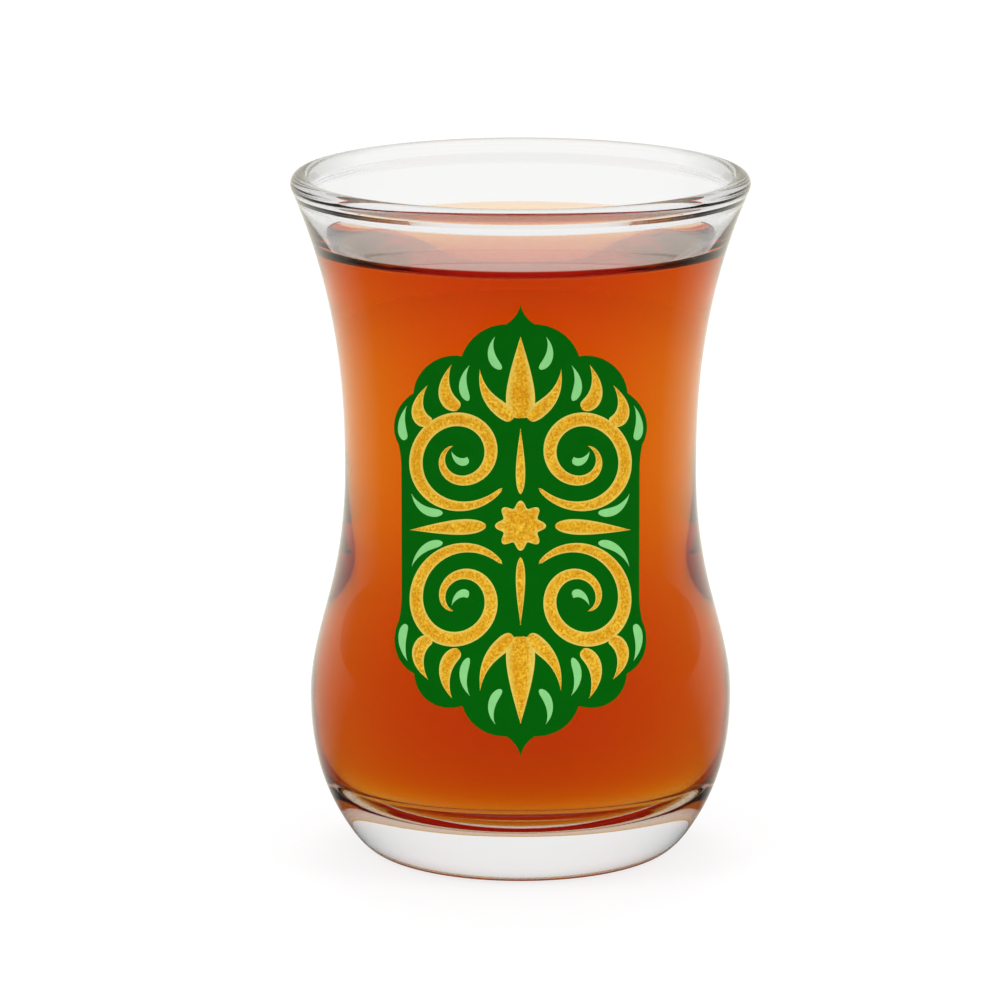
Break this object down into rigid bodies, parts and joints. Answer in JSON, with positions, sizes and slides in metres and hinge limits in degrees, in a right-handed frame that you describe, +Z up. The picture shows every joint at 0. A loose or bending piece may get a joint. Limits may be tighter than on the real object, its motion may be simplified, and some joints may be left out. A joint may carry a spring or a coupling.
{
  "type": "waisted tea glass",
  "caption": "Clear waisted glass with a flared rim and thick base, a lobed green and gold printed panel on its front, filled with tea.",
  "frame": {"origin": "centre of the foot ring, on the surface that the glass stands on", "axes": "+Z up along the glass's axis, -Y out of the printed panel, +X to the right as the panel is seen"},
  "size_m": [0.0598, 0.0598, 0.09],
  "materials": {
    "clear_glass": "gloss",
    "tea": "gloss",
    "green_print": "satin",
    "gold_print": "satin",
    "pale_green_print": "satin"
  },
  "bodies": {
    "root": {"glass_body": "clear_glass", "gold_corner_leaf_lower_left": "gold_print", "gold_corner_leaf_lower_right": "gold_print", "gold_corner_leaf_upper_left": "gold_print", "gold_corner_leaf_upper_right": "gold_print", "gold_crown_leaf_lower": "gold_print", "gold_crown_leaf_upper": "gold_print", "gold_crown_petal_lower_left": "gold_print", "gold_crown_petal_lower_right": "gold_print", "gold_crown_petal_upper_left": "gold_print", "gold_crown_petal_upper_right": "gold_print", "gold_rosette": "gold_print", "gold_scroll_lower_left": "gold_print", "gold_scroll_lower_right": "gold_print", "gold_scroll_upper_left": "gold_print", "gold_scroll_upper_right": "gold_print", "gold_shoulder_leaf_lower_left": "gold_print", "gold_shoulder_leaf_lower_right": "gold_print", "gold_shoulder_leaf_upper_left": "gold_print", "gold_shoulder_leaf_upper_right": "gold_print", "gold_side_leaf_left": "gold_print", "gold_side_leaf_right": "gold_print", "gold_stem_lower": "gold_print", "gold_stem_upper": "gold_print", "pale_corner_sprig_lower_left": "pale_green_print", "pale_corner_sprig_lower_right": "pale_green_print", "pale_corner_sprig_upper_left": "pale_green_print", "pale_corner_sprig_upper_right": "pale_green_print", "pale_crown_sprig_lower_left": "pale_green_print", "pale_crown_sprig_lower_right": "pale_green_print", "pale_crown_sprig_upper_left": "pale_green_print", "pale_crown_sprig_upper_right": "pale_green_print", "pale_eye_bud_lower_left": "pale_green_print", "pale_eye_bud_lower_right": "pale_green_print", "pale_eye_bud_upper_left": "pale_green_print", "pale_eye_bud_upper_right": "pale_green_print", "pale_shoulder_sprig_lower_left": "pale_green_print", "pale_shoulder_sprig_lower_right": "pale_green_print", "pale_shoulder_sprig_upper_left": "pale_green_print", "pale_shoulder_sprig_upper_right": "pale_green_print", "pale_side_sprig_lower_left": "pale_green_print", "pale_side_sprig_lower_right": "pale_green_print", "pale_side_sprig_upper_left": "pale_green_print", "pale_side_sprig_upper_right": "pale_green_print", "panel_ground": "green_print", "tea": "tea"}
  },
  "joints": []
}
